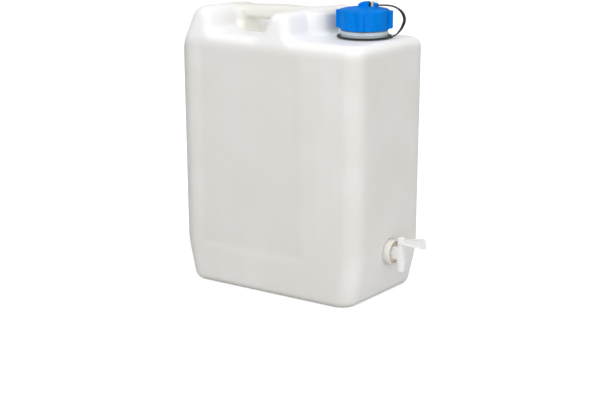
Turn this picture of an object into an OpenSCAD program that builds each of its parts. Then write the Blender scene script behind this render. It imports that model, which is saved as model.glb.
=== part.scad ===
// Jerry can of natural polyethylene: a blow-moulded shell with a hand grip between two humps,
// a screw cap on a tether, and a quarter-turn tap low on the front end.
// +X points to the tap end, +Z up, and the origin is the centre of the base on the floor.

/* [Canister] */
// Length of the shell just above the foot bevel
body_len = 291; // [270:1:320]
// Depth of the shell across the broad faces
body_dep = 167; // [155:1:190]
// Height of the cap deck and of the saddle
deck_h = 350; // [330:1:380]
// Height of the two humps and of the grip above the deck
hump_h = 34; // [30:1:40]
// Wall thickness
wall = 2; // [1.6:0.1:2.6]
// Radius of the four upright corners
corner_r = 24; // [18:1:30]
// Height of the bevelled foot at both ends
bevel_h = 55; // [45:1:65]
// How far the foot bevel pulls in at each end
bevel_in = 13.5; // [8:0.5:18]
// Depth of the label panels in the broad faces
panel_in = 1.2; // [0.6:0.1:1.6]

/* [Filler neck and cap] */
// Distance of the neck axis in front of the centre
neck_x = 101.5; // [95:0.5:106]
// Radius of the thread crest, 30.5 for a DIN 61 neck
thread_r = 30.5; // [30.5:0.5:30.5]
// Height of the neck above the deck
neck_h = 32; // [30:1:34]
// Outer radius of the cap between its ribs
cap_r = 32.6; // [32.5:0.1:34]
// Outer radius over the cap's ribs
rib_out_r = 37.5; // [36.5:0.5:39]
// Rise of the cap for each full turn
thread_pitch = 6; // [6:1:6]
// Angle of the tether about the neck, from the tap side
tether_angle = 20; // [0:5:25]

/* [Tap] */
// Height of the tap above the floor
tap_z = 64.5; // [62:0.5:68]
// Distance of the tap's barrel from the centre
barrel_x = 163.2; // [162:0.2:165]
// Outer radius of the collar nut
collar_r = 17; // [16.5:0.5:18]
// Reach of the lever from the barrel's axis
lever_reach = 36.6; // [30:0.2:42]
// Upward tilt of the lever
lever_tilt = 8; // [0:1:12]

/* [Hidden] */
$fn = 96;
HULL_FN = 32;
eps = 0.01;

// Shell
taper = 2.3;
base_r = 10;
deck_r = 13;
top_z = deck_h + hump_h;
body_levels = [[0, base_r], [0.3 * base_r, 0.3 * base_r], [base_r, 0], [bevel_h, 0],
               [deck_h - deck_r, 0], [deck_h - 0.3 * deck_r, 0.3 * deck_r], [deck_h, deck_r]];
// Humps as [height above the deck, rear x, front x, half depth, corner radius]
rear_levels = [[-19, -146.5, -88, 84.5, 16], [20, -131, -92, 83, 15],
               [29, -126, -94, 80, 13], [hump_h, -116, -99, 71, 8]];
mid_levels = [[-19, -30, 46, 84, 20], [0, -15, 41, 84, 16], [22, -1, 37, 83, 12],
              [29, 3, 35, 80, 10], [hump_h, 11, 28, 72, 6]];
// Nose of the front hump, which reaches towards the cap
nose_back_x = 20;
nose_root_x = 36;
nose_tip_x = 55;
nose_root_y = 35;
nose_tip_y = 11;
nose_drop = 3;
// Hand grip
grip_z = 373;
grip_w = 26;
grip_t = 20;
grip_round = 8;
grip_x0 = -112;
grip_x1 = 20;
// Post that carries the rear end of the grip
post_x0 = -106;
post_x1 = -83;
post_w = 42;
post_round = 7;
post_drop = 2;
post_foot = 12;
// Label panels
panel_x0 = -110;
panel_x1 = 55;
panel_z0 = 56;
panel_z1 = 328;
face_tilt = atan(taper / (deck_h - bevel_h));
// Trough under the grip that leaves room for the fingers
trough_r = 40;
trough_z = 372;
trough_x0 = -84;
trough_x1 = -24;
// Finger notch under the rear end
notch_r = 20;
notch_w = 56;
notch_in = 20;
notch_z = 6;

// Filler neck
neck_bore_r = 26;
neck_root_r = 28.4;
foot_r = 31.4;
foot_h = 10.3;
neck_top = deck_h + neck_h;
ridge = 2.1;
ridge_root = 3;
ridge_crest = 1.8;
ridge_bite = 0.6;
neck_thread_z = 365.5;
neck_thread_turns = 1.6;
cap_thread_turns = 1.25;
steps_per_turn = 36;

// Cap
cap_bottom = deck_h + foot_h + 0.9;
cap_shoulder = 387;
cap_crown = 391.2;
cap_bore_r = thread_r + 0.5;
seat_gap = 0.1;
gasket_t = 2.4;
gasket_r = 30.6;
rib_w = 5.6;
rib_count = 4;
rib_angle = -62;
lug_back = 8;
lug_front = 17.6;
lug_w = 11;
lug_top = 397.6;
slot_s0 = 6.6;
slot_s1 = 13.4;
strap_hole_w = 5.4;
strap_hole_h = 2.8;

// Tether
ring_in_r = 31.9;
ring_out_r = 36.4;
ring_z = deck_h + 0.5;
ring_t = 2.6;
strap_w = 4;
strap_t = 1.8;
// Route of the strap as [distance from the neck axis, height]
strap_route = [[35.4, 351.8], [38.5, 352.6], [43.4, 355.9], [48.8, 362.2], [52.2, 369.2],
               [53.6, 375], [52.4, 380.8], [48.8, 386.2], [43.6, 390], [37.6, 392.3],
               [31, 393.2], [24, 393.2], [17.6, 393], [12, 393]];
strap_steps = 4;
ferrule_s = 11;
ferrule_w = 3.6;
ferrule_d = 6.4;
ferrule_z0 = 390.9;
ferrule_z1 = 397.8;

// Outlet and tap
pocket_r = 19.5;
pocket_x = 141;
spigot_x = 146;
spigot_r = 13.2;
outlet_r = 9.5;
collar_x0 = 142.6;
collar_x1 = 153.9;
web_x0 = 149.3;
web_x1 = 150.9;
washer_t = 1.4;
flange_r = 12.6;
stem_r = 6;
tail_r = 8.5;
tail_len = 9;
web_h = 17;
barrel_w = 8.8;
barrel_z0 = 52.6;
barrel_z1 = 75.9;
nozzle_r = 5.4;
nozzle_z0 = 40.3;
plug_bore_r = 3.2;
plug_gap = 0.05;
plug_r = plug_bore_r - plug_gap;
plug_z0 = 55.6;
port_r = 2;
drain_r = 1.4;
channel_r = 3;
seal_r = 0.5;
seal_z = [59.2, 71.4];
spindle_r = 2.4;
spindle_z1 = 82;
head_w = 8.2;
head_z0 = barrel_z1 + 0.3;
head_z1 = 86.6;
paddle_t = 2.6;
paddle_root_h = 8;
paddle_tip_h = 13.6;
paddle_rim = 1.2;
rim_t = 4.2;

natural = [0.88, 0.88, 0.86];
cap_blue = [0, 0.45, 0.85];
tap_white = [0.93, 0.93, 0.94];
strap_black = [0.08, 0.08, 0.08];

// Half length and half depth of the shell at height z
function half_len(z) = body_len / 2 + edge_shift(z, bevel_in);
function half_dep(z) = body_dep / 2 + edge_shift(z, 0);
function edge_shift(z, pull) = z < bevel_h ? -pull * (1 - z / bevel_h)
    : taper * (z - bevel_h) / (deck_h - bevel_h);

module rounded_rect(w, d, r) {
    offset(r = r) square([w - 2 * r, d - 2 * r], center = true);
}

// A thin rounded slab, the building block of the hulls
module slab(z, x0, x1, half_y, r) {
    translate([(x0 + x1) / 2, 0, z])
        linear_extrude(eps)
            rounded_rect(x1 - x0, 2 * half_y, r);
}

// The shell below the deck, pulled in by t on every side
module main_block(t) {
    hull() for (level = body_levels) {
        z = t + level[0] * (deck_h - 2 * t) / deck_h;
        hx = half_len(level[0]) - level[1] - t;
        hy = half_dep(level[0]) - level[1] - t;
        slab(z, -hx, hx, hy, corner_r - 0.5 * level[1] - t, $fn = HULL_FN);
    }
}

// A hump through its levels, pulled in by t
module hump(levels, t) {
    hull() for (level = levels)
        slab(deck_h + level[0] - t, level[1] + t, level[2] - t, level[3] - t,
             max(level[4] - t, 2), $fn = HULL_FN);
}

module nose(t) {
    z0 = deck_h - 20;
    translate([0, 0, z0])
        linear_extrude(top_z - nose_drop - t - z0)
            offset(r = 4 - t)
                offset(delta = -4)
                    polygon([[nose_back_x, -nose_root_y], [nose_root_x, -nose_root_y],
                             [nose_tip_x, -nose_tip_y], [nose_tip_x, nose_tip_y],
                             [nose_root_x, nose_root_y], [nose_back_x, nose_root_y]]);
}

module grip_bar(t) {
    translate([grip_x0, 0, grip_z])
        rotate([90, 0, 90])
            linear_extrude(grip_x1 - grip_x0)
                offset(r = grip_round - t)
                    square([grip_w - 2 * grip_round, grip_t - 2 * grip_round], center = true);
}

module grip_post(t) {
    z0 = deck_h - post_foot;
    translate([(post_x0 + post_x1) / 2, 0, z0])
        linear_extrude(top_z - post_drop - t - z0)
            rounded_rect(post_x1 - post_x0 - 2 * t, post_w - 2 * t, post_round - t);
}

// Trough in the saddle, grown by t
module finger_trough(t) {
    translate([trough_x0 - t, 0, trough_z])
        rotate([0, 90, 0])
            cylinder(r = trough_r + t, h = trough_x1 - trough_x0 + 2 * t);
}

// The outside of the shell, or its inside when pulled in by t
module shell_form(t) {
    difference() {
        union() {
            difference() {
                main_block(t);
                finger_trough(t);
            }
            hump(rear_levels, t);
            hump(mid_levels, t);
            nose(t);
            grip_post(t);
            grip_bar(t);
        }
        label_panels(panel_in + t);
        finger_notch(t);
        tap_pocket(t);
    }
}

// Plates that sink the label panels by depth into the broad faces
module label_panels(depth) {
    for (side = [-1, 1])
        translate([panel_x0 - depth, side * half_dep(panel_z0), panel_z0 - depth])
            rotate([-side * face_tilt, 0, 0])
                translate([0, -depth, 0])
                    cube([panel_x1 - panel_x0 + 2 * depth, 2 * depth,
                          panel_z1 - panel_z0 + 2 * depth]);
}

// Finger notch under the rear end, grown by t
module finger_notch(t) {
    translate([-body_len / 2 + bevel_in + notch_in - notch_r, 0, notch_z])
        rotate([90, 0, 0])
            cylinder(r = notch_r + t, h = notch_w + 2 * t, center = true);
}

// Round pocket in the front end around the outlet, grown by t
module tap_pocket(t) {
    translate([pocket_x - t, 0, tap_z])
        rotate([0, 90, 0])
            cylinder(r = pocket_r + t, h = 20);
}

module x_tube(x0, x1, r) {
    translate([x0, 0, tap_z])
        rotate([0, 90, 0])
            cylinder(r = r, h = x1 - x0);
}

// Points of one trapezoid section of a thread ridge; out = 1 stands outwards, -1 inwards
function ridge_section(r, out, a, z) = [
    for (p = [[-ridge_bite, -ridge_root / 2], [ridge, -ridge_crest / 2],
              [ridge, ridge_crest / 2], [-ridge_bite, ridge_root / 2]])
        let (radius = r + out * p[0])
            [radius * cos(a), radius * sin(a), z + p[1]]];

// Helical thread ridge on a wall of radius r
module thread_ridge(r, out, z0, turns, start) {
    steps = round(turns * steps_per_turn);
    rings = [for (i = [0:steps])
        let (a = start + i * 360 / steps_per_turn)
            ridge_section(r, out, a, z0 + thread_pitch * i / steps_per_turn)];
    points = [for (ring = rings) each ring];
    first = out > 0 ? [3, 2, 1, 0] : [0, 1, 2, 3];
    last = [for (k = [3:-1:0]) first[k] + 4 * steps];
    sides = [for (i = [0:steps - 1]) for (k = [0:3])
        let (a = 4 * i + first[k], b = 4 * i + first[(k + 1) % 4])
            [a, a + 4, b + 4, b]];
    polyhedron(points, concat([first, last], sides), convexity = 10);
}

module canister_body() color(natural) {
    difference() {
        union() {
            shell_form(0);
            translate([neck_x, 0, deck_h - wall])
                cylinder(r = foot_r, h = foot_h + wall);
            translate([neck_x, 0, deck_h - wall])
                cylinder(r = neck_root_r, h = neck_h + wall);
            translate([neck_x, 0, 0])
                thread_ridge(neck_root_r, 1, neck_thread_z, neck_thread_turns, 0);
            x_tube(pocket_x - wall, spigot_x, spigot_r);
        }
        shell_form(wall);
        translate([neck_x, 0, deck_h - 2 * wall])
            cylinder(r = neck_bore_r, h = neck_h + 3 * wall);
        x_tube(pocket_x - 2 * wall, spigot_x + 1, outlet_r);
    }
}

// Turns its children to the tether's direction about the neck axis
module at_tether() {
    translate([neck_x, 0, 0])
        rotate([0, 0, tether_angle])
            children();
}

module cap_lug() {
    at_tether() difference() {
        intersection() {
            translate([-lug_back, -lug_w / 2, cap_shoulder])
                cube([lug_back + lug_front, lug_w, lug_top - cap_shoulder]);
            translate([(lug_front - lug_back) / 2, 0, cap_shoulder - 20])
                rotate([90, 0, 0])
                    cylinder(r = lug_top - cap_shoulder + 20, h = lug_w, center = true);
        }
        translate([slot_s0, -lug_w, cap_crown - 0.6])
            cube([slot_s1 - slot_s0, 2 * lug_w, 20]);
        translate([slot_s1 - 1, -strap_hole_w / 2, 393 - strap_hole_h / 2])
            cube([20, strap_hole_w, strap_hole_h]);
    }
}

module filler_cap() color(cap_blue) {
    dome_rise = cap_crown - cap_shoulder;
    dome_r = (pow(cap_r, 2) + pow(dome_rise, 2)) / (2 * dome_rise);
    cavity_top = neck_top + seat_gap + gasket_t;
    difference() {
        union() {
            intersection() {
                translate([neck_x, 0, cap_bottom])
                    cylinder(r = cap_r, h = cap_crown - cap_bottom);
                translate([neck_x, 0, cap_crown - dome_r])
                    sphere(r = dome_r, $fn = 200);
            }
            for (i = [0:rib_count - 1])
                translate([neck_x, 0, cap_bottom + 1.5])
                    rotate([0, 0, rib_angle + i * 360 / rib_count])
                        translate([cap_r - 1.2, -rib_w / 2, 0])
                            cube([rib_out_r - cap_r + 1.2, rib_w, cap_shoulder - cap_bottom - 3]);
            cap_lug();
        }
        translate([neck_x, 0, cap_bottom - 1])
            cylinder(r = cap_bore_r, h = cavity_top - cap_bottom + 1);
    }
    translate([neck_x, 0, 0])
        thread_ridge(cap_bore_r, -1, neck_thread_z + thread_pitch / 2, cap_thread_turns, 0);
}

module cap_gasket() color([0.9, 0.9, 0.88])
    translate([neck_x, 0, neck_top + seat_gap])
        cylinder(r = gasket_r, h = gasket_t);

module tether_ring() color(strap_black) {
    translate([neck_x, 0, ring_z])
        difference() {
            cylinder(r = ring_out_r, h = ring_t);
            translate([0, 0, -1])
                cylinder(r = ring_in_r, h = ring_t + 2);
        }
}

// Catmull-Rom point between b and c
function spline_point(a, b, c, d, t) =
    0.5 * (2 * b + (c - a) * t + (2 * a - 5 * b + 4 * c - d) * t * t
           + (3 * b - a - 3 * c + d) * t * t * t);

function spline(points, steps) = [
    for (i = [0:len(points) - 2]) for (k = [0:steps - 1])
        spline_point(points[max(i - 1, 0)], points[i], points[i + 1],
                     points[min(i + 2, len(points) - 1)], k / steps),
    points[len(points) - 1]];

module tether_strap() color(strap_black) {
    path = spline(strap_route, strap_steps);
    count = len(path);
    half_w = strap_w / 2;
    half_t = strap_t / 2;
    section = [[-half_w + 0.5, -half_t], [half_w - 0.5, -half_t], [half_w, -half_t + 0.5],
               [half_w, half_t - 0.5], [half_w - 0.5, half_t], [-half_w + 0.5, half_t],
               [-half_w, half_t - 0.5], [-half_w, -half_t + 0.5]];
    sides = len(section);
    points = [for (i = [0:count - 1])
        let (ahead = path[min(i + 1, count - 1)] - path[max(i - 1, 0)],
             along = ahead / norm(ahead))
            for (p = section)
                [path[i][0] - along[1] * p[1], p[0], path[i][1] + along[0] * p[1]]];
    faces = [for (i = [0:count - 2]) for (k = [0:sides - 1])
        let (a = i * sides + k, b = i * sides + (k + 1) % sides)
            [a, b, b + sides, a + sides]];
    ends = [[for (k = [sides - 1:-1:0]) k], [for (k = [0:sides - 1]) k + (count - 1) * sides]];
    at_tether() polyhedron(points, concat(faces, ends), convexity = 6);
}

module strap_ferrule() color([0.87, 0.8, 0.68])
    at_tether() difference() {
        translate([ferrule_s - ferrule_w / 2, -ferrule_d / 2, ferrule_z0])
            cube([ferrule_w, ferrule_d, ferrule_z1 - ferrule_z0]);
        translate([ferrule_s, -strap_w / 2 - 0.05, 393 - strap_t / 2 - 0.05])
            cube([ferrule_w, strap_w + 0.1, strap_t + 0.1]);
    }

module tap_collar() color(natural) difference() {
    x_tube(collar_x0, collar_x1, collar_r);
    x_tube(collar_x0 - 1, web_x0, spigot_r + 0.1);
    x_tube(web_x0 - 1, web_x1 + 1, stem_r + 0.6);
    x_tube(web_x1, collar_x1 + 1, collar_r - 2);
}

module tap_washer() color([0.75, 0.66, 0.5]) difference() {
    x_tube(spigot_x, spigot_x + washer_t, flange_r);
    x_tube(spigot_x - 1, spigot_x + washer_t + 1, tail_r + 0.2);
}

// Upright square column with rounded edges
module column(w, z0, z1) {
    translate([barrel_x, 0, z0])
        linear_extrude(z1 - z0)
            rounded_rect(w, w, 1, $fn = 24);
}

module tap_body() color(tap_white) difference() {
    union() {
        x_tube(spigot_x + washer_t, web_x0, flange_r);
        x_tube(spigot_x - tail_len, spigot_x + washer_t + 0.5, tail_r);
        x_tube(web_x0 - 0.5, web_x1 + 1, stem_r);
        translate([web_x1, -barrel_w / 2, tap_z - web_h / 2])
            cube([barrel_x - web_x1, barrel_w, web_h]);
        column(barrel_w, barrel_z0, barrel_z1);
        translate([barrel_x, 0, nozzle_z0])
            cylinder(r = nozzle_r, h = barrel_z0 - nozzle_z0);
    }
    x_tube(spigot_x - tail_len - 1, barrel_x, channel_r);
    translate([barrel_x, 0, plug_z0 - 0.3])
        cylinder(r = plug_bore_r, h = barrel_z1);
    translate([barrel_x, 0, nozzle_z0 - 1])
        cylinder(r = port_r, h = barrel_z0);
}

module tap_plug() color(tap_white) difference() {
    union() {
        translate([barrel_x, 0, plug_z0])
            cylinder(r = plug_r, h = head_z0 - plug_z0);
        translate([barrel_x, 0, head_z0 - 1])
            cylinder(r = spindle_r, h = spindle_z1 - head_z0 + 1);
    }
    translate([barrel_x, 0, plug_z0 - 1])
        cylinder(r = drain_r, h = tap_z - plug_z0 + 1);
    translate([barrel_x, 0, tap_z])
        rotate([-90, 0, 0])
            cylinder(r = port_r, h = 10);
    for (z = seal_z)
        translate([barrel_x, 0, z])
            rotate_extrude()
                translate([plug_r - 2 * seal_r - 0.03, -seal_r - 0.05])
                    square([3, 2 * seal_r + 0.1]);
}

module plug_seals() color([0.15, 0.15, 0.15])
    for (z = seal_z)
        translate([barrel_x, 0, z])
            rotate_extrude()
                translate([plug_r - seal_r, 0])
                    circle(r = seal_r, $fn = 24);

// Side view of the lever's paddle, flaring towards its end and grown by g
module paddle_outline(g) {
    root = paddle_root_h / 2 + g;
    tip = paddle_tip_h / 2 + g;
    polygon([[0, -root], [lever_reach - 4, -tip], [lever_reach + g, -tip + 1],
             [lever_reach + g, tip - 1], [lever_reach - 4, tip], [0, root]]);
}

module tap_lever() color(tap_white) {
    head_mid = (head_z0 + head_z1) / 2;
    difference() {
        union() {
            column(head_w, head_z0, head_z1);
            translate([barrel_x, 0, head_mid])
                rotate([90, -lever_tilt, 0]) {
                    linear_extrude(paddle_t, center = true)
                        paddle_outline(0);
                    linear_extrude(rim_t, center = true)
                        difference() {
                            paddle_outline(0);
                            translate([1, 0])
                                paddle_outline(-paddle_rim);
                        }
                }
        }
        translate([barrel_x, 0, head_z0 - 1])
            cylinder(r = spindle_r, h = spindle_z1 - head_z0 + 1);
    }
}

canister_body();
filler_cap();
cap_gasket();
tether_ring();
tether_strap();
strap_ferrule();
tap_collar();
tap_washer();
tap_body();
tap_plug();
plug_seals();
tap_lever();
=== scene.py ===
"""Looks of the jerry can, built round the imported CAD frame.

Lengths inside the shape functions are millimetres, and mesh_piece() turns them into metres.
Rounded shapes are signed distance fields: a field is negative inside the plastic, and its zero
surface is meshed with quads by surface_net() and then settled exactly onto the surface.
"""

import math

import bpy
import numpy as np
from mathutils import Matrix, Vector


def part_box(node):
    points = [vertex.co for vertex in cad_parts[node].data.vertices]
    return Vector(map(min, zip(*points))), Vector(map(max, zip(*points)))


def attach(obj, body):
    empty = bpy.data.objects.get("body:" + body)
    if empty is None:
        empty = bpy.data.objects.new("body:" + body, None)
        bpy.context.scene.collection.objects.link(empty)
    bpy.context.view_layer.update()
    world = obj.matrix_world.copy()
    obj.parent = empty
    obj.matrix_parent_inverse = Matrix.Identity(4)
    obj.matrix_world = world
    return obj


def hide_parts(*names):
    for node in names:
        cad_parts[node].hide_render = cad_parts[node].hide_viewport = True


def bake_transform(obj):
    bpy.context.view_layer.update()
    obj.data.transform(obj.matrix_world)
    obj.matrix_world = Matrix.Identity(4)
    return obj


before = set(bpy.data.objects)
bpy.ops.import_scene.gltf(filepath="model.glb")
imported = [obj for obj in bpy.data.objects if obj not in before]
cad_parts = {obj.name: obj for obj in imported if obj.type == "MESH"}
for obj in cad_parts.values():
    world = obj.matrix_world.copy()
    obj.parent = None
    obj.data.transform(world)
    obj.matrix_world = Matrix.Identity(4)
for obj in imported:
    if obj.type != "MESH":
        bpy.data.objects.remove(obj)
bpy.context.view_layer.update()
MM = 0.001


# ---------------------------------------------------------------- sizes, from the frame

def box_mm(node):
    """Lowest and highest corner of a CAD node in millimetres."""
    low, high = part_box(node)
    return np.array(low) / MM, np.array(high) / MM


shell_low, shell_high = box_mm("canister_body")
ring_low, ring_high = box_mm("tether_ring")
cap_low, cap_high = box_mm("filler_cap")
ferrule_low, ferrule_high = box_mm("strap_ferrule")
gasket_low, gasket_high = box_mm("cap_gasket")
collar_low, collar_high = box_mm("tap_collar")
tap_low, tap_high = box_mm("tap_body")
plug_low, plug_high = box_mm("tap_plug")
lever_low, lever_high = box_mm("tap_lever")

# Shell
TAPER = 2.3
HALF_LEN = shell_high[0] - TAPER
HALF_DEP = shell_high[1] - TAPER
TOP_Z = shell_high[2]
# Fall of the humps on the near and the far half, and of the deck on the far half
REAR_FALL = (2, 11.5)
MID_FALL = (0, 4)
DECK_FALL = 5
HUMP_FALL_Y = (-70, 0, 75)
DECK_FALL_Y = (25, 85)
DECK_Z = ring_low[2] - 0.5
BEVEL_H = 55
BEVEL_IN = 13.5
CORNER_R = 24
DECK_R = 13
BASE_R = 10
BEVEL_SOFT = 3
# Rear hump: its sloping back passes through two points, and its front leans back slightly
REAR_SLOPE_FOOT = (-148, 331)
REAR_SLOPE_TOP = (-129, 372)
REAR_FRONT_X = -92.5
REAR_FRONT_LEAN = 0.03
REAR_ROUND = 12
# Front hump: an S-shaped back and an upright front
MID_BACK_FOOT = (-5, 356)
MID_BACK_TOP = (5, 377)
MID_FRONT_FOOT_X = 37
MID_FRONT_TOP_X = 34
MID_ROUND = 9
FOOT_ROUND = 9
# Nose that reaches towards the cap
NOSE_ROOT = (36, 35)
NOSE_TIP = (55, 11)
NOSE_BACK_X = 20
NOSE_DROP = 3
# Grip, its rear pillar and the trough under it
GRIP_BOTTOM = 363
GRIP_TILT = 0.055
GRIP_HALF_W = 13
GRIP_ROUND = 7.5
GRIP_ENDS = (-112, 22)
PILLAR_X = (-106, -83)
PILLAR_HALF_Y = 21
TROUGH_R = 40
TROUGH_Z = 372
TROUGH_X = (-86, -24)
# Label panels, finger notch and the pocket round the tap
PANEL_X = (-110, 55)
PANEL_Z = (56, 328)
PANEL_IN = 1.3
PANEL_SOFT = 7
NOTCH_R = 20
NOTCH_HALF_W = 28
NOTCH_X = -HALF_LEN + BEVEL_IN
NOTCH_Z = 6
POCKET_R = 16.95
POCKET_X = 142
SPIGOT_R = 13.2
SPIGOT_X = 146
WELL_DEPTH = 60

# Filler neck
NECK_X = (ring_low[0] + ring_high[0]) / 2
NECK_TOP = gasket_low[2] - 0.1
NECK_FOOT_R = 31.4
NECK_FOOT_TOP = cap_low[2] - 0.9
NECK_ROOT_R = 28.4
NECK_BORE_R = 26
THREAD_OUT = 2.1
THREAD_PITCH = 6
THREAD_Z = 365.5
THREAD_TURNS = 1.6
THREAD_HALF_W = 1.75
THREAD_FLANK = 0.7

# Cap and tether
TETHER_ANGLE = math.radians(20)
CAP_R = 32.9
CAP_BORE_R = 31
CAP_THREAD_TURNS = 1.25
CAP_SHOULDER = 387
CAP_CROWN = 391.2
CAP_RIB_OUT = 37.5
CAP_RIB_W = 7.4
CAP_RIB_ANGLE = math.radians(-65)
LUG_S = (-8, 17.6)
LUG_W = 11
LUG_TOP = cap_high[2]
LUG_ARC_R = LUG_TOP - CAP_SHOULDER + 20
SLOT_S = (6.6, 13.4)
RING_R = (31.9, 36.4)
RING_RAISE = 0.7
RING_TAB_S = (33, 37.6)
RING_TAB_HALF_W = 3.4
STOP_S = 8
FERRULE_S = 11
STRAP_W = 4
STRAP_T = 2
STRAP_Z = 393
STRAP_BULGE = 0.85
STRAP_BULGE_S = (43, 53)
# Route of the strap as [distance from the neck axis, height]
STRAP_ROUTE = [(35.4, 351.8), (38.5, 352.6), (43.4, 355.9), (48.8, 362.2), (52.2, 369.2),
               (53.6, 375), (52.4, 380.8), (48.8, 386.2), (43.6, 390), (37.6, 392.3),
               (31, 393.2), (24, 393.2), (17.6, 393), (12, 393)]

# Tap
TAP_Z = (collar_low[2] + collar_high[2]) / 2
COLLAR_R = (collar_high[2] - collar_low[2]) / 2
BARREL_X = (plug_low[0] + plug_high[0]) / 2
BARREL_W = 8.8
BARREL_Z = (52.6, 75.9)
WEB_X = 150.9
WEB_H = 17
NOZZLE_R = 5.5
NOZZLE_BORE_R = 3.7
STEM_R = 6
STEM_GAP = 0.6
TAIL_R = 8.5
INSERT_LIP = 2.3
COLLAR_BAND = 4.6
LEVER_HEAD_W = 8.2
LEVER_HEAD_Z = (76.2, 86.6)
LEVER_REACH = 36.6
LEVER_TILT = math.radians(5.5)
LEVER_DROP = 1.3
PADDLE_ROOT_H = 6
PADDLE_TIP_H = 14.2
PADDLE_TIP_L = 4
PADDLE_HALF_T = 2.1


# ---------------------------------------------------------------- camera, floor and lights

CAMERA_AZIMUTH = math.radians(35.155)
CAMERA_ELEVATION = math.radians(12.634)
CAMERA_DISTANCE = 2.15
CAMERA_TARGET = Vector((0.0008, 0.0054, 0.1774))
CAMERA_LENS = 93.6
CAMERA_SHIFT = (-0.0067, -0.075)


def make_camera():
    data = bpy.data.cameras.new("camera")
    data.sensor_width = 36
    data.lens = CAMERA_LENS
    data.shift_x, data.shift_y = CAMERA_SHIFT
    data.clip_start, data.clip_end = 0.05, 60
    camera = bpy.data.objects.new("camera", data)
    bpy.context.scene.collection.objects.link(camera)
    back = Vector((math.sin(CAMERA_AZIMUTH) * math.cos(CAMERA_ELEVATION),
                   -math.cos(CAMERA_AZIMUTH) * math.cos(CAMERA_ELEVATION),
                   math.sin(CAMERA_ELEVATION)))
    camera.location = CAMERA_TARGET + back * CAMERA_DISTANCE
    camera.rotation_euler = (-back).to_track_quat("-Z", "Y").to_euler()
    bpy.context.scene.camera = camera


def area_light(name, place, aim, width, height, watts):
    data = bpy.data.lights.new(name, "AREA")
    data.shape = "RECTANGLE"
    data.size, data.size_y = width, height
    data.energy = watts
    light = bpy.data.objects.new(name, data)
    bpy.context.scene.collection.objects.link(light)
    light.location = place
    light.rotation_euler = (Vector(aim) - Vector(place)).to_track_quat("-Z", "Y").to_euler()


def make_lights():
    area_light("top_softbox", (0.1, -0.25, 1.7), (0, 0, 0.3), 1.3, 1.1, 1.7)
    area_light("front_softbox", (0.6, -1.62, 1.5), (0, 0, 0.18), 1.2, 1.2, 15)
    area_light("right_strip", (2.05, -0.75, 0.2), (0.1, 0, 0.2), 0.1, 0.9, 5)


def make_world():
    world = bpy.data.worlds.new("studio")
    bpy.context.scene.world = world
    world.use_nodes = True
    tree = world.node_tree
    tree.nodes.clear()
    output = tree.nodes.new("ShaderNodeOutputWorld")
    mix = tree.nodes.new("ShaderNodeMixShader")
    path = tree.nodes.new("ShaderNodeLightPath")
    fill = tree.nodes.new("ShaderNodeBackground")
    fill.inputs["Color"].default_value = (1, 0.995, 0.99, 1)
    side = tree.nodes.new("ShaderNodeSeparateXYZ")
    tree.links.new(tree.nodes.new("ShaderNodeTexCoord").outputs["Generated"], side.inputs[0])
    strength = tree.nodes.new("ShaderNodeMapRange")
    for name, value in (("From Min", -1), ("From Max", 0.4), ("To Min", 0.53), ("To Max", 0.825)):
        strength.inputs[name].default_value = value
    tree.links.new(side.outputs["X"], strength.inputs["Value"])
    tree.links.new(strength.outputs[0], fill.inputs["Strength"])
    seen = tree.nodes.new("ShaderNodeBackground")
    seen.inputs["Color"].default_value = (1, 1, 1, 1)
    seen.inputs["Strength"].default_value = 1
    tree.links.new(path.outputs["Is Camera Ray"], mix.inputs["Fac"])
    tree.links.new(fill.outputs[0], mix.inputs[1])
    tree.links.new(seen.outputs[0], mix.inputs[2])
    tree.links.new(mix.outputs[0], output.inputs["Surface"])


make_camera()
make_lights()
make_world()
bpy.context.scene.view_settings.view_transform = "Standard"


# ---------------------------------------------------------------- materials

NATURAL = (0.80, 0.785, 0.765)
# Painted light: paler lower tap end
FOOT_PAINTED_LIGHT = (0.88, 0.875, 0.87, 1)
# Painted light: paler top above the deck
TOP_PAINTED_LIGHT = (0.95, 0.95, 0.96, 1)
# Painted light: the hollow under the grip paler
TROUGH_PAINTED_LIGHT = (0.96, 0.945, 0.895, 1)
GRIP_SHADE = (0.845, 0.83, 0.785, 1)
# Painted shade: the nose beside the cap darker
NOSE_PAINTED_SHADE = (0.68, 0.69, 0.67, 1)


def node(tree, kind, inputs=None, **settings):
    """A shader node; an input is a number, a colour or another node's output."""
    made = tree.nodes.new(kind)
    for name, value in settings.items():
        setattr(made, name, value)
    for name, value in (inputs or {}).items():
        if isinstance(value, bpy.types.NodeSocket):
            tree.links.new(value, made.inputs[name])
        else:
            made.inputs[name].default_value = value
    return made


def new_material(name):
    material = bpy.data.materials.new(name)
    material.use_nodes = True
    tree = material.node_tree
    tree.nodes.clear()
    output = tree.nodes.new("ShaderNodeOutputMaterial")
    shader = tree.nodes.new("ShaderNodeBsdfPrincipled")
    tree.links.new(shader.outputs[0], output.inputs["Surface"])
    return material, tree, shader


def noise(tree, scale, detail, stretch=(1, 1, 1)):
    """Noise in the piece's own coordinates, as a 0 to 1 output."""
    coords = node(tree, "ShaderNodeTexCoord")
    mapping = node(tree, "ShaderNodeMapping",
                   {"Vector": coords.outputs["Object"], "Scale": stretch})
    made = node(tree, "ShaderNodeTexNoise",
                {"Vector": mapping.outputs[0], "Scale": scale, "Detail": detail})
    return made.outputs["Fac"]


def spread(tree, value, low, high, out_low=0.0, out_high=1.0):
    """value from low to high, eased and mapped to out_low to out_high."""
    made = node(tree, "ShaderNodeMapRange",
                {"Value": value, "From Min": low, "From Max": high,
                 "To Min": out_low, "To Max": out_high}, interpolation_type="SMOOTHSTEP")
    return made.outputs["Result"]


def times(tree, a, b):
    return node(tree, "ShaderNodeMath", {0: a, 1: b}, operation="MULTIPLY").outputs[0]


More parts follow.
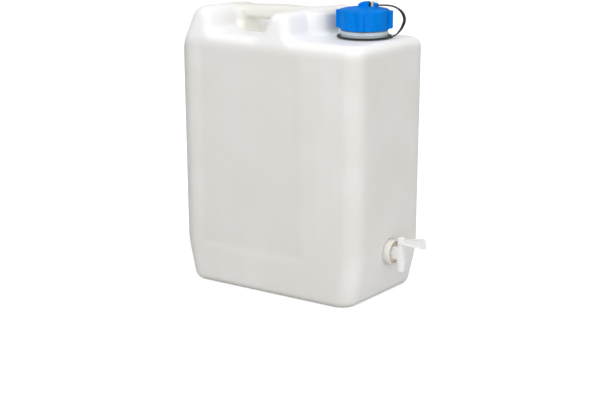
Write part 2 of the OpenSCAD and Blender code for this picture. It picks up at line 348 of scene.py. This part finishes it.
def mix_colour(tree, share, a, b):
    made = node(tree, "ShaderNodeMix", data_type="RGBA")
    for index, value in ((0, share), (6, a), (7, b)):
        if isinstance(value, bpy.types.NodeSocket):
            tree.links.new(value, made.inputs[index])
        else:
            made.inputs[index].default_value = value
    return made.outputs[2]


def grey(value):
    return (value, value, value, 1)


def bumps(tree, shader, layers):
    """Stacks bump layers, each (height output, strength, distance in metres)."""
    normal = None
    for height, strength, distance in layers:
        inputs = {"Height": height, "Strength": strength, "Distance": distance}
        if normal is not None:
            inputs["Normal"] = normal
        normal = node(tree, "ShaderNodeBump", inputs).outputs["Normal"]
    tree.links.new(normal, shader.inputs["Normal"])


def set_shader(shader, **values):
    for name, value in values.items():
        shader.inputs[name.replace("_", " ")].default_value = value


def window(tree, value, low, high, soft):
    """1 between low and high, falling to 0 over soft on either side."""
    rise = spread(tree, value, low - soft, low + soft)
    fall = spread(tree, value, high - soft, high + soft, 1.0, 0.0)
    return times(tree, rise, fall)


def shaded(base, red, green, blue):
    """The base colour with each channel scaled."""
    return (base[0] * red, base[1] * green, base[2] * blue, 1)


def shell_zones(tree, colour, base):
    """Colour of the shell, paler or darker in zones matched to the photo."""
    # Painted light and shade: the zones below paint paler or darker tones where the light falls, and
    # a cream tint on the grip
    place = node(tree, "ShaderNodeSeparateXYZ",
                 {0: node(tree, "ShaderNodeTexCoord").outputs["Object"]})
    x, y, z = place.outputs
    across = node(tree, "ShaderNodeMath", {0: y}, operation="ABSOLUTE").outputs[0]
    # Painted shade: the recessed label panel a little darker
    panel = times(tree, window(tree, x, PANEL_X[0] * MM, PANEL_X[1] * MM, 0.01),
                  window(tree, z, PANEL_Z[0] * MM, PANEL_Z[1] * MM, 0.006))
    colour = mix_colour(tree, times(tree, panel, 0.3), colour, shaded(base, 0.9, 0.9, 0.88))
    # Painted shade: the rear end darker, where less light falls on it
    rear = spread(tree, x, -0.142, -0.116, 1.0, 0.0)
    colour = mix_colour(tree, rear, colour, shaded(base, 0.84, 0.845, 0.85))
    # Painted light: the lower tap end and its bevel paler, lifting their shade
    foot = times(tree, spread(tree, x, 0.115, 0.14), spread(tree, z, 0.035, 0.085, 1.0, 0.0))
    colour = mix_colour(tree, foot, colour, FOOT_PAINTED_LIGHT)
    # Painted light: everything above the deck's edge paler, as if lit from above
    top = spread(tree, z, (DECK_Z - 22) * MM, (DECK_Z - 1) * MM)
    colour = mix_colour(tree, times(tree, top, 0.9), colour, TOP_PAINTED_LIGHT)
    # Painted light in the hollow under the grip, lifting its shade; the grip above takes a cream
    # tint
    grip = times(tree, spread(tree, across, 0.019, 0.027, 1.0, 0.0),
                 times(tree, spread(tree, z, 0.322, 0.334),
                       window(tree, x, -0.101, 0.0075, 0.0022)))
    lit_trough_to_cream_grip = mix_colour(tree, spread(tree, z, 0.358, 0.364), TROUGH_PAINTED_LIGHT, GRIP_SHADE)
    colour = mix_colour(tree, grip, colour, lit_trough_to_cream_grip)
    # Painted shade: the nose beside the cap darker, where the cap shades it
    nose = times(tree, spread(tree, across, 0.03, 0.042, 1.0, 0.0),
                 times(tree, spread(tree, z, 0.352, 0.36), spread(tree, x, 0.036, 0.056)))
    return mix_colour(tree, nose, colour, NOSE_PAINTED_SHADE)


def natural_plastic(name, base, with_zones=False):
    """Natural blow-moulded polyethylene: milky, waxy, with a faint grain and soft mottling."""
    material, tree, shader = new_material(name)
    colour = mix_colour(tree, spread(tree, noise(tree, 14, 4), 0.35, 0.65), (*base, 1),
                        shaded(base, 0.965, 0.965, 0.94))
    streaks = spread(tree, noise(tree, 30, 3, (1, 1, 0.08)), 0.4, 0.7)
    colour = mix_colour(tree, times(tree, streaks, 0.5), colour,
                        shaded(base, 0.955, 0.955, 0.93))
    # Painted light and shade in zones over the shell
    if with_zones:
        colour = shell_zones(tree, colour, base)
    tree.links.new(colour, shader.inputs["Base Color"])
    tree.links.new(spread(tree, noise(tree, 45, 4), 0.3, 0.7, 0.35, 0.42),
                   shader.inputs["Roughness"])
    set_shader(shader, Subsurface_Weight=0.2, Subsurface_Radius=(1, 0.95, 0.85),
               Subsurface_Scale=0.008, IOR=1.5, Specular_IOR_Level=0.3)
    bumps(tree, shader, [(noise(tree, 22, 2), 0.35, 0.0006),
                         (noise(tree, 450, 2), 0.15, 0.00005)])
    return material


def moulded_plastic(name, base, roughness, mottle=0.06, grain=1800, subsurface=0.0,
                    specular=0.45):
    """Injection-moulded plastic: fine grain, faint flow marks, slightly uneven gloss."""
    material, tree, shader = new_material(name)
    shade = 1 - mottle
    colour = mix_colour(tree, spread(tree, noise(tree, 60, 4), 0.35, 0.65), (*base, 1),
                        shaded(base, shade, shade, shade))
    flow = spread(tree, noise(tree, 110, 3, (1, 1, 0.2)), 0.45, 0.75)
    colour = mix_colour(tree, times(tree, flow, 0.4), colour,
                        (*(min(channel * 1.08 + 0.01, 1) for channel in base), 1))
    tree.links.new(colour, shader.inputs["Base Color"])
    tree.links.new(spread(tree, noise(tree, 160, 3), 0.3, 0.7, roughness - 0.05,
                          roughness + 0.07), shader.inputs["Roughness"])
    set_shader(shader, IOR=1.49, Specular_IOR_Level=specular, Subsurface_Weight=subsurface,
               Subsurface_Radius=(1, 0.95, 0.9), Subsurface_Scale=0.003)
    bumps(tree, shader, [(noise(tree, 120, 2), 0.2, 0.0002),
                         (noise(tree, grain, 2), 0.3, 0.00005)])
    return material


def floor_material():
    """Pale floor: seen nearly white with a soft contact shadow, and bouncing little light."""
    material, tree, shader = new_material("studio_floor")
    colour = mix_colour(tree, spread(tree, noise(tree, 3, 2), 0.3, 0.7), grey(0.6), grey(0.585))
    tree.links.new(colour, shader.inputs["Base Color"])
    seen = node(tree, "ShaderNodeLightPath").outputs["Is Camera Ray"]
    tree.links.new(times(tree, seen, 0.68), shader.inputs["Emission Strength"])
    set_shader(shader, Roughness=0.9, Specular_IOR_Level=0.1, Emission_Color=grey(1))
    return material


natural = natural_plastic("natural_polyethylene", NATURAL, with_zones=True)
natural_neck = natural_plastic("natural_neck", (0.56, 0.63, 0.69))
cream = natural_plastic("cream_polyethylene", (0.82, 0.81, 0.775))
blue = moulded_plastic("blue_plastic", (0.0, 0.205, 0.74), 0.41, 0.06, specular=0.02)
black = moulded_plastic("black_plastic", (0.012, 0.012, 0.013), 0.42, 0.2)
beige = moulded_plastic("beige_plastic", (0.74, 0.62, 0.44), 0.42)
white = moulded_plastic("white_plastic", (0.88, 0.88, 0.88), 0.41, 0.03, subsurface=0.25)
tan = moulded_plastic("tan_rubber", (0.85, 0.75, 0.58), 0.6, 0.1)
rubber = moulded_plastic("seal_rubber", (0.02, 0.02, 0.02), 0.6, 0.2)
foam = moulded_plastic("gasket_foam", (0.8, 0.8, 0.78), 0.8, 0.05, 900)


# ---------------------------------------------------------------- shape tools

def cut(a, b, r=0.0):
    """Common part of two fields, its edge rounded to r."""
    return (np.minimum(-r, np.maximum(a, b))
            + np.hypot(np.maximum(r + a, 0), np.maximum(r + b, 0)))


def join(a, b, r=0.0):
    """Both fields together, the inner corner filled to radius r."""
    return -cut(-a, -b, r)


def less(a, b, r=0.0):
    """a without b, the edge rounded to r."""
    return cut(a, -b, r)


def between(value, low, high):
    return np.maximum(low - value, value - high)


def block(a, b, c, r):
    """Rounded block from three one-axis fields."""
    a, b, c = a + r, b + r, c + r
    outside = np.sqrt(np.maximum(a, 0) ** 2 + np.maximum(b, 0) ** 2 + np.maximum(c, 0) ** 2)
    return outside + np.minimum(np.maximum(np.maximum(a, b), c), 0) - r


def ease(value, low, high):
    t = np.clip((value - low) / (high - low), 0, 1)
    return t * t * (3 - 2 * t)


def soft_low(a, b, k):
    """The lower of two, blended over k."""
    h = np.maximum(k - np.abs(a - b), 0) / k
    return np.minimum(a, b) - h * h * k / 4


def line_x(z, foot, top):
    """X at height z of the straight line through two (x, z) points."""
    return foot[0] + (z - foot[1]) * (top[0] - foot[0]) / (top[1] - foot[1])


def surface_net(field, low, high, pitch):
    """Points and quads of a field's zero surface, one point for each grid cell it crosses."""
    low = np.array(low, float)
    count = np.ceil((np.array(high, float) - low) / pitch).astype(int) + 1
    ax, ay, az = (low[k] + pitch * np.arange(count[k]) for k in range(3))
    gy, gz = np.meshgrid(ay, az, indexing="ij")
    values = np.stack([field(np.full(gy.shape, x), gy, gz) for x in ax])
    stride = np.array([count[1] * count[2], count[2], 1])
    rings, crossings = [], []
    for axis in range(3):
        b, c = (axis + 1) % 3, (axis + 2) % 3
        first = [slice(None)] * 3
        second = [slice(None)] * 3
        first[axis], second[axis] = slice(0, -1), slice(1, None)
        v0, v1 = values[tuple(first)], values[tuple(second)]
        where = np.argwhere((v0 < 0) != (v1 < 0))
        start, end = v0[tuple(where.T)], v1[tuple(where.T)]
        point = where.astype(float)
        point[:, axis] += start / (start - end)
        ring = []
        for db, dc in ((0, 0), (-1, 0), (-1, -1), (0, -1)):
            cell = where.copy()
            cell[:, b] += db
            cell[:, c] += dc
            ring.append(cell @ stride)
        ring = np.stack(ring, 1)
        ring[start > 0] = ring[start > 0][:, ::-1]
        rings.append(ring)
        crossings.append(np.repeat(point, 4, axis=0))
    rings, crossings = np.concatenate(rings), np.concatenate(crossings)
    _, index = np.unique(rings.ravel(), return_inverse=True)
    index = index.ravel()
    total = np.bincount(index)
    points = np.stack([np.bincount(index, crossings[:, k]) / total for k in range(3)], 1)
    return low + pitch * points, index.reshape(-1, 4)


def settle(field, points, quads, rounds=4, step=0.02):
    """Evens out the points and moves them exactly onto the field's zero surface."""
    a = np.concatenate([quads[:, k] for k in range(4)])
    b = np.concatenate([quads[:, (k + 1) % 4] for k in range(4)])
    ends, others = np.concatenate([a, b]), np.concatenate([b, a])
    total = np.bincount(ends, minlength=len(points))
    shift = np.eye(3) * step
    for turn in range(rounds + 1):
        if turn < rounds:
            mean = np.stack([np.bincount(ends, points[others, k], len(points)) / total
                             for k in range(3)], 1)
            points = points + 0.5 * (mean - points)
        value = field(*points.T)
        slope = np.stack([(field(*(points + shift[k]).T) - field(*(points - shift[k]).T))
                          / (2 * step) for k in range(3)], 1)
        length = np.maximum((slope ** 2).sum(1), 0.2)
        move = np.clip(value / length, -1.5, 1.5)
        points = points - slope * move[:, None]
    return points


def mesh_piece(name, points, faces, material, body, stands_for=(), smooth_angle=None):
    """A finished piece from points in millimetres, riding on a CAD body."""
    mesh = bpy.data.meshes.new(name)
    mesh.from_pydata([], [], [])
    points = np.asarray(points, np.float32) * MM
    faces = np.asarray(faces, np.int32)
    sides = faces.shape[1]
    mesh.vertices.add(len(points))
    mesh.vertices.foreach_set("co", points.ravel())
    mesh.loops.add(faces.size)
    mesh.loops.foreach_set("vertex_index", faces.ravel())
    mesh.polygons.add(len(faces))
    mesh.polygons.foreach_set("loop_start", np.arange(0, faces.size, sides, dtype=np.int32))
    mesh.update(calc_edges=True)
    mesh.validate()
    mesh.polygons.foreach_set("use_smooth", np.ones(len(mesh.polygons), bool))
    if smooth_angle is not None:
        mesh.set_sharp_from_angle(angle=math.radians(smooth_angle))
    mesh.materials.append(material)
    piece = bpy.data.objects.new(name, mesh)
    bpy.context.scene.collection.objects.link(piece)
    if body:
        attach(piece, body)
    if stands_for:
        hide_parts(*stands_for)
    return piece


def field_piece(name, field, low, high, pitch, material, body, stands_for=()):
    margin = 2.37 * pitch
    points, quads = surface_net(field, np.array(low) - margin, np.array(high) + margin, pitch)
    points = settle(field, points, quads)
    return mesh_piece(name, points, quads, material, body, stands_for)


def sweep(steps, section_of):
    """Capped tube of quads; section_of(i) gives the ring of points at step i."""
    rings = [section_of(i) for i in range(steps)]
    sides = len(rings[0])
    points = [p for ring in rings for p in ring]
    faces = [(i * sides + k, i * sides + (k + 1) % sides,
              (i + 1) * sides + (k + 1) % sides, (i + 1) * sides + k)
             for i in range(len(rings) - 1) for k in range(sides)]
    for start, flip in ((0, True), ((len(rings) - 1) * sides, False)):
        centre = len(points)
        ring = points[start:start + sides]
        points.append(tuple(sum(p[k] for p in ring) / sides for k in range(3)))
        for k in range(sides):
            pair = (start + k, start + (k + 1) % sides)
            a, b = pair[::-1] if flip else pair
            faces.append((a, b, centre, centre))
    return points, faces


# ---------------------------------------------------------------- the shell

def half_length(z):
    upright = HALF_LEN + TAPER * (z - BEVEL_H) / (DECK_Z - BEVEL_H)
    bevel = HALF_LEN - BEVEL_IN * (1 - z / BEVEL_H)
    return soft_low(upright, bevel, BEVEL_SOFT)


def half_depth(z):
    return HALF_DEP + TAPER * np.clip((z - BEVEL_H) / (DECK_Z - BEVEL_H), 0, 1)


def hump_top(y, fall):
    """Height of a hump, which falls away towards the far side."""
    near, middle, far = HUMP_FALL_Y
    return TOP_Z - fall[0] * ease(y, near, middle) - fall[1] * ease(y, middle, far)


def skyline(x, y, z):
    """Side outline of everything above the shell's middle: deck, saddle and both humps."""
    deck = z - DECK_Z + DECK_FALL * ease(y, *DECK_FALL_Y)
    rear_front = x - REAR_FRONT_X + REAR_FRONT_LEAN * (z - DECK_Z)
    rear = cut(rear_front, z - hump_top(y, REAR_FALL), REAR_ROUND)
    back_lean = math.cos(math.atan2(MID_BACK_TOP[0] - MID_BACK_FOOT[0],
                                    MID_BACK_TOP[1] - MID_BACK_FOOT[1]))
    mid_back = (line_x(z, MID_BACK_FOOT, MID_BACK_TOP) - x) * back_lean
    mid_front = x - line_x(z, (MID_FRONT_FOOT_X, DECK_Z), (MID_FRONT_TOP_X, TOP_Z))
    mid = cut(cut(mid_back, z - hump_top(y, MID_FALL), MID_ROUND), mid_front, MID_ROUND)
    return join(join(deck, rear, FOOT_ROUND), mid, FOOT_ROUND)


def outline(x, y, z):
    """Plan outline of the shell at height z, the rear pulled in along the sloping back."""
    front = half_length(z)
    rear = -soft_low(front, -line_x(z, REAR_SLOPE_FOOT, REAR_SLOPE_TOP), 5)
    middle, half = (front + rear) / 2, (front - rear) / 2
    return cut(np.abs(x - middle) - half, np.abs(y) - panelled_depth(x, z), CORNER_R)


def panelled_depth(x, z):
    """Half depth of the shell, less the shallow label panel."""
    along = ease(x, PANEL_X[0] - PANEL_SOFT, PANEL_X[0] + PANEL_SOFT) \
        * (1 - ease(x, PANEL_X[1] - 1.4 * PANEL_SOFT, PANEL_X[1] + 1.4 * PANEL_SOFT))
    up = ease(z, PANEL_Z[0] - PANEL_SOFT, PANEL_Z[0] + PANEL_SOFT) \
        * (1 - ease(z, PANEL_Z[1] - 2 * PANEL_SOFT, PANEL_Z[1] + 2 * PANEL_SOFT))
    return half_depth(z) - PANEL_IN * along * up


def nose_outline(x, y):
    """Plan of the nose, negative inside: a flat tip between two slanting cheeks."""
    run, drop = NOSE_TIP[0] - NOSE_ROOT[0], NOSE_ROOT[1] - NOSE_TIP[1]
    length = math.hypot(run, drop)
    cheek = ((x - NOSE_ROOT[0]) * drop + (np.abs(y) - NOSE_ROOT[1]) * run) / length
    side = np.abs(y) - NOSE_ROOT[1]
    return cut(cut(cheek, x - NOSE_TIP[0], 5), cut(side, NOSE_BACK_X - x), 3)


def shell_field(x, y, z):
    shell = cut(outline(x, y, z), skyline(x, y, z), DECK_R)
    trough = cut(np.hypot(y, z - TROUGH_Z) - TROUGH_R, between(x, *TROUGH_X), 6)
    shell = less(shell, trough, 5)
    nose = cut(nose_outline(x, y), z - hump_top(y, MID_FALL) + NOSE_DROP, 6)
    nose = cut(nose, DECK_Z - 20 - z)
    shell = join(shell, nose, 5)
    pillar = block(between(x, *PILLAR_X), np.abs(y) - PILLAR_HALF_Y,
                   between(z, DECK_Z - 30, TOP_Z - 3.5), 7)
    shell = join(shell, pillar, 5)
    grip_top = np.minimum(TOP_Z, TOP_Z + 3 - GRIP_TILT * (GRIP_ENDS[1] - x))
    grip = cut(np.abs(y) - GRIP_HALF_W, between(z, GRIP_BOTTOM, grip_top), GRIP_ROUND)
    grip = cut(grip, between(x, *GRIP_ENDS), 3)
    shell = join(shell, grip, 2.5)
    shell = cut(shell, z - TOP_Z)
    shell = cut(shell, -z, BASE_R)
    notch = cut(np.hypot(x - NOTCH_X, z - NOTCH_Z) - NOTCH_R, np.abs(y) - NOTCH_HALF_W, 4)
    shell = less(shell, notch, 4)
    from_tap = np.hypot(y, z - TAP_Z)
    shell = less(shell, cut(from_tap - POCKET_R, POCKET_X - x, 1.5), 2.5)
    spigot = cut(from_tap - SPIGOT_R, between(x, POCKET_X - 4, SPIGOT_X), 0.5)
    shell = join(shell, spigot, 1)
    well = cut(np.hypot(x - NECK_X, y) - NECK_BORE_R - 1, DECK_Z - WELL_DEPTH - z, 10)
    return less(shell, well)


def neck_profile():
    """(radius, height) of the neck, up the outside, over the lip and down the bore."""
    foot = [(NECK_FOOT_R + 1.6, DECK_Z - 3), (NECK_FOOT_R + 1.6, DECK_Z + 0.1),
            (NECK_FOOT_R + 0.4, DECK_Z + 0.7), (NECK_FOOT_R, DECK_Z + 1.8),
            (NECK_FOOT_R, DECK_Z + 5.2), (NECK_FOOT_R + 0.55, DECK_Z + 5.8),
            (NECK_FOOT_R + 0.55, DECK_Z + 6.7), (NECK_FOOT_R, DECK_Z + 7.3),
            (NECK_FOOT_R, NECK_FOOT_TOP - 0.9), (NECK_FOOT_R - 0.9, NECK_FOOT_TOP)]
    root = [(NECK_ROOT_R + 0.5, NECK_FOOT_TOP), (NECK_ROOT_R, NECK_FOOT_TOP + 0.6)]
    rise = [(NECK_ROOT_R, z) for z in np.linspace(NECK_FOOT_TOP + 1, NECK_TOP - 1.2, 40)]
    lip = [(NECK_ROOT_R - 0.4, NECK_TOP - 0.4), (NECK_ROOT_R - 1, NECK_TOP),
           (NECK_BORE_R + 0.5, NECK_TOP), (NECK_BORE_R, NECK_TOP - 0.6)]
    bore = [(NECK_BORE_R, z) for z in np.linspace(NECK_TOP - 2, DECK_Z - 6, 6)]
    return foot + root + rise + lip + bore


def make_neck(name):
    """The threaded neck, one continuous skin with a helical ridge on its root."""
    turns = 200
    profile = neck_profile()
    points = []
    for radius, z in profile:
        for k in range(turns):
            a = 2 * math.pi * k / turns
            r = radius
            if abs(radius - NECK_ROOT_R) < 0.01:
                r += thread_rise(a, z)
            points.append((NECK_X + r * math.cos(a), r * math.sin(a), z))
    faces = [(i * turns + k, i * turns + (k + 1) % turns, (i + 1) * turns + (k + 1) % turns,
              (i + 1) * turns + k)
             for i in range(len(profile) - 1) for k in range(turns)]
    return mesh_piece(name, points, faces, natural_neck, "can",
                      smooth_angle=50)


def thread_rise(angle, z):
    """Height of the thread above the neck's root at an angle and height."""
    best = 0.0
    for turn in range(int(THREAD_TURNS) + 1):
        along = angle / (2 * math.pi) + turn
        if along > THREAD_TURNS:
            continue
        off = abs(z - THREAD_Z - THREAD_PITCH * along)
        fade = min(1, along / 0.06, (THREAD_TURNS - along) / 0.06)
        best = max(best, THREAD_OUT * fade * min(1, max(0, (THREAD_HALF_W - off) / THREAD_FLANK)))
    return best


# ---------------------------------------------------------------- cap and tether

def tether_axes(x, y):
    """Distance along and across the tether's direction, from the neck axis."""
    dx = x - NECK_X
    return (dx * math.cos(TETHER_ANGLE) + y * math.sin(TETHER_ANGLE),
            y * math.cos(TETHER_ANGLE) - dx * math.sin(TETHER_ANGLE))


def at_tether(s, t, z):
    return (NECK_X + s * math.cos(TETHER_ANGLE) - t * math.sin(TETHER_ANGLE),
            s * math.sin(TETHER_ANGLE) + t * math.cos(TETHER_ANGLE), z)


def cap_field(x, y, z):
    r = np.hypot(x - NECK_X, y)
    dome = z - (CAP_SHOULDER + (CAP_CROWN - CAP_SHOULDER) * (1 - (r / CAP_R) ** 2))
    cap = cut(cut(r - CAP_R, dome, 1.5), cap_low[2] - z, 1.2)
    around = np.arctan2(y, x - NECK_X) - CAP_RIB_ANGLE
    quarter = (around + math.pi / 4) % (math.pi / 2) - math.pi / 4
    rib = block(between(r * np.cos(quarter), CAP_R - 6, CAP_RIB_OUT),
                np.abs(r * np.sin(quarter)) - CAP_RIB_W / 2,
                between(z, cap_low[2] + 1.6, CAP_SHOULDER - 0.7), 1.3)
    cap = join(cap, rib, 1.6)
    s, t = tether_axes(x, y)
    arc = np.hypot(s - sum(LUG_S) / 2, z - (LUG_TOP - LUG_ARC_R)) - LUG_ARC_R
    lean = 0.25 * (z - CAP_CROWN)
    lug = cut(cut(between(s, LUG_S[0] + lean, LUG_S[1]), np.abs(t) - LUG_W / 2, 1), arc, 0.9)
    lug = cut(lug, CAP_SHOULDER - z)
    slot = cut(between(s, *SLOT_S), CAP_CROWN - 0.6 - z, 0.6)
    lug = less(lug, slot, 0.5)
    hole = cut(np.abs(t) - 2.7, np.abs(z - STRAP_Z) - 1.4, 0.5)
    lug = less(lug, cut(hole, SLOT_S[1] - 1 - s), 0.3)
    cap = join(cap, lug, 1)
    bore = cut(r - CAP_BORE_R, z - gasket_high[2], 0.8)
    return less(cap, bore, 0.4)


def inner_thread(radius, z0, turns):
    """Helical ridge that stands inwards from a bore."""
    per_turn, run_in = 60, 5
    steps = int(turns * per_turn)

    def section(i):
        a = 2 * math.pi * i / per_turn
        tall = THREAD_OUT * min(1, i / run_in, (steps - i) / run_in)
        return [(NECK_X + (radius - u) * math.cos(a), (radius - u) * math.sin(a),
                 z0 + THREAD_PITCH * i / per_turn + v)
                for u, v in ((-0.6, -1.5), (tall, -0.8), (tall, 0.8), (-0.6, 1.5))]

    return sweep(steps + 1, section)


def ring_field(x, y, z):
    r = np.hypot(x - NECK_X, y)
    level = between(z, ring_low[2] + RING_RAISE, ring_high[2])
    ring = cut(between(r, *RING_R), level, 0.8)
    s, t = tether_axes(x, y)
    tab = block(between(s, *RING_TAB_S), np.abs(t) - RING_TAB_HALF_W, level, 0.8)
    return join(ring, tab, 1.2)


def spline(points, steps):
    """Catmull-Rom curve through 2-D points."""
    made = []
    for i in range(len(points) - 1):
        a, b, c, d = (np.array(points[min(max(i + k, 0), len(points) - 1)], float)
                      for k in (-1, 0, 1, 2))
        for k in range(steps):
            t = k / steps
            made.append(0.5 * (2 * b + (c - a) * t + (2 * a - 5 * b + 4 * c - d) * t ** 2
                               + (3 * b - a - 3 * c + d) * t ** 3))
    made.append(np.array(points[-1], float))
    return made


def make_strap(name):
    path = spline(STRAP_ROUTE, 8)
    half_w, half_t = STRAP_W / 2, STRAP_T / 2
    outline_points = []
    for k in range(20):
        a = 2 * math.pi * (k + 0.5) / 20
        u, v = math.cos(a), math.sin(a)
        size = (abs(u) ** 4 + abs(v) ** 4) ** -0.25
        outline_points.append((half_w * u * size, half_t * v * size))

    def section(i):
        ahead = path[min(i + 1, len(path) - 1)] - path[max(i - 1, 0)]
        ahead = ahead / np.linalg.norm(ahead)
        thicker = 1 + STRAP_BULGE * float(ease(path[i][0], *STRAP_BULGE_S))
        return [at_tether(path[i][0] - ahead[1] * v * thicker, u,
                          path[i][1] + ahead[0] * v * thicker) for u, v in outline_points]

    points, faces = sweep(len(path), section)
    strap = mesh_piece(name, points, faces, black, None,
                       ["tether_strap"], smooth_angle=60)
    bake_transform(strap)
    return strap


def stop_field(x, y, z):
    """Head on the end of the strap, beside the ferrule."""
    s, t = tether_axes(x, y)
    return block(np.abs(s - STOP_S) - 1, np.abs(t) - 2.9, np.abs(z - STRAP_Z - 0.5) - 3, 0.5)


def ferrule_field(x, y, z):
    s, t = tether_axes(x, y)
    body = block(np.abs(s - FERRULE_S) - 1.8, np.abs(t) - 3.2,
                 between(z, ferrule_low[2], ferrule_high[2]), 0.6)
    waist = np.hypot(np.abs(s - FERRULE_S) - 2.3, z - STRAP_Z - 2.2) - 0.75
    return less(body, waist, 0.2)


# ---------------------------------------------------------------- tap

def collar_field(x, y, z):
    r = np.hypot(y, z - TAP_Z)
    turn = np.arctan2(y, z - TAP_Z)
    rear_band = 1 - ease(x, collar_low[0] + 4.4, collar_low[0] + 5)
    scallop = 0.22 * (1 + np.cos(36 * turn)) * rear_band
    ring = cut(r - COLLAR_R + scallop, between(x, collar_low[0], collar_high[0]), 0.9)
    groove = cut(np.abs(x - collar_low[0] - COLLAR_BAND) - 0.35, COLLAR_R - 0.55 - r, 0.1)
    ring = less(ring, groove, 0.15)
    ring = less(ring, cut(r - COLLAR_R + 2, collar_low[0] + 6.2 - x, 0.5), 0.6)
    ring = less(ring, r - STEM_R - STEM_GAP, 0.3)
    return less(ring, cut(r - SPIGOT_R - 0.1, x - collar_low[0] - COLLAR_BAND), 0.2)


def insert_field(x, y, z):
    """Tan ring at the bottom of the collar's recess."""
    r = np.hypot(y, z - TAP_Z)
    return cut(between(r, STEM_R + STEM_GAP + 0.1, COLLAR_R - INSERT_LIP),
               between(x, collar_low[0] + 5.9, collar_low[0] + 7), 0.4)


def tap_field(x, y, z):
    r = np.hypot(y, z - TAP_Z)
    half = BARREL_W / 2
    barrel = block(np.abs(x - BARREL_X) - half, np.abs(y) - half, between(z, *BARREL_Z), 1.1)
    from_barrel = np.hypot(x - BARREL_X, y)
    nozzle = cut(from_barrel - NOZZLE_R + 0.02 * (BARREL_Z[0] - z),
                 between(z, tap_low[2], BARREL_Z[0] + 1), 0.9)
    tap = join(barrel, nozzle, 0.4)
    web = block(between(x, WEB_X - 2, BARREL_X), np.abs(y) - half, np.abs(z - TAP_Z) - WEB_H / 2,
                1.3)
    tap = join(tap, web, 0.6)
    stem = cut(r - STEM_R, between(x, SPIGOT_X - 6, WEB_X))
    tap = join(tap, stem, 0.4)
    tail = cut(r - TAIL_R, between(x, SPIGOT_X - 8, SPIGOT_X + 1))
    tap = join(tap, tail, 0.2)
    bore = cut(from_barrel - NOZZLE_BORE_R, z - BARREL_Z[0] - 2, 0.5)
    return less(tap, bore, 0.4)


def lever_field(x, y, z):
    half = LEVER_HEAD_W / 2
    head_mid = sum(LEVER_HEAD_Z) / 2
    head = block(np.abs(x - BARREL_X) - half, np.abs(y) - half, between(z, *LEVER_HEAD_Z), 1.2)
    dx, dz = x - BARREL_X, z - head_mid + LEVER_DROP
    u = dx * math.cos(LEVER_TILT) + dz * math.sin(LEVER_TILT)
    v = dz * math.cos(LEVER_TILT) - dx * math.sin(LEVER_TILT)
    flare = (PADDLE_TIP_H - PADDLE_ROOT_H) / 2 / (LEVER_REACH - PADDLE_TIP_L)
    height = PADDLE_ROOT_H / 2 + flare * np.clip(u, 0, LEVER_REACH - PADDLE_TIP_L)
    plan = cut(np.abs(v) - height, between(u, 0, LEVER_REACH), 1.6)
    paddle = cut(plan, np.abs(y) - PADDLE_HALF_T, 0.5)
    dish_end = np.maximum(plan + 1.2, u - LEVER_REACH + 2.6)
    dish = cut(dish_end, 1.25 - np.abs(y), 0.3)
    paddle = less(paddle, dish, 0.35)
    return join(head, paddle, 0.8)


# ---------------------------------------------------------------- building the pieces

field_piece("canister", shell_field, (shell_low[0], shell_low[1], 0), shell_high, 2.0,
            natural, "can", ["canister_body"])
make_neck("filler_neck")
cap_span = CAP_RIB_OUT + 1
field_piece("cap", cap_field, (NECK_X - cap_span, -cap_span, cap_low[2]),
            (NECK_X + cap_span, cap_span, cap_high[2]), 0.55,
            blue, "cap", ["filler_cap"])
points, faces = inner_thread(CAP_BORE_R, THREAD_Z + THREAD_PITCH / 2, CAP_THREAD_TURNS)
mesh_piece("cap_thread", points, faces, blue, "cap", smooth_angle=50)
field_piece("tether_ring_loop", ring_field, ring_low, (ring_high[0] + 2, ring_high[1], ring_high[2]),
            0.45, black, "tether", ["tether_ring"])
make_strap("tether_band")
field_piece("ferrule", ferrule_field, ferrule_low - 1, ferrule_high + 1, 0.3, beige, "cap",
            ["strap_ferrule"])
field_piece("strap_stop", stop_field, ferrule_low - 4, ferrule_high + 1, 0.3, black, "cap")
field_piece("collar", collar_field, collar_low, collar_high, 0.4, cream, "can",
            ["tap_collar"])
field_piece("collar_insert", insert_field, collar_low, collar_high, 0.5, tan, "can")
field_piece("tap", tap_field, tap_low, tap_high, 0.4, white, "can",
            ["tap_body"])
field_piece("lever", lever_field, lever_low, lever_high, 0.4, white, "tap_key",
            ["tap_lever"])

for node_name, material, slot_name in (("cap_gasket", foam, "gasket_foam"),
                                       ("tap_washer", tan, "washer_rubber"),
                                       ("tap_plug", white, "white_tap_plastic"),
                                       ("plug_seals", rubber, "seal_rubber")):
    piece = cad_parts[node_name]
    piece.data.materials.clear()
    piece.data.materials.append(material)


def make_floor():
    mesh = bpy.data.meshes.new("studio_floor")
    sides, radius = 64, 12.0
    ring = [(radius * math.cos(2 * math.pi * k / sides), radius * math.sin(2 * math.pi * k / sides),
             0) for k in range(sides)]
    mesh.from_pydata(ring, [], [tuple(range(sides))])
    mesh.materials.append(floor_material())
    floor = bpy.data.objects.new("studio_floor", mesh)
    bpy.context.scene.collection.objects.link(floor)


make_floor()
